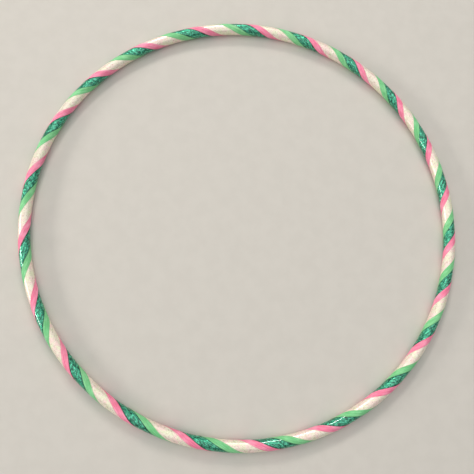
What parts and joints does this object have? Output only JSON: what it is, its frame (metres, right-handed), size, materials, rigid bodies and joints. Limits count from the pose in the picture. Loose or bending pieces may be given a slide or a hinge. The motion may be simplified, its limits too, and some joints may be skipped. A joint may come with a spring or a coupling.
{
  "type": "rhythmic hoop",
  "caption": "Rigid round hoop of bent plastic pipe, riveted at a hidden sleeve joint and wrapped all round in a spiral of narrow cloth tapes and wide pearly and glitter tapes.",
  "frame": {"origin": "centre of the ring, on the surface that the hoop lies on", "axes": "+Z is the ring's axis, up when the hoop lies flat; the hidden joint is at the -Y side, a little towards -X"},
  "size_m": [0.9143, 0.9144, 0.0245],
  "materials": {
    "pink_cloth": "matte woven cloth tape",
    "green_cloth": "matte woven cloth tape",
    "cream_film": "satin pearly film tape",
    "teal_glitter": "glossy metallic glitter tape",
    "black_pipe": "extruded pipe, smooth",
    "sleeve_pipe": "extruded pipe, smooth",
    "rivet_aluminium": "plain",
    "mandrel_steel": "plain"
  },
  "bodies": {
    "root": {"hoop_tube": "black_pipe", "joint_sleeve": "sleeve_pipe", "left_rivet": "rivet_aluminium", "right_rivet": "rivet_aluminium", "left_rivet_mandrel": "mandrel_steel", "right_rivet_mandrel": "mandrel_steel", "pink_tape": "pink_cloth", "green_tape": "green_cloth", "cream_tape": "cream_film", "teal_tape": "teal_glitter"}
  },
  "joints": []
}
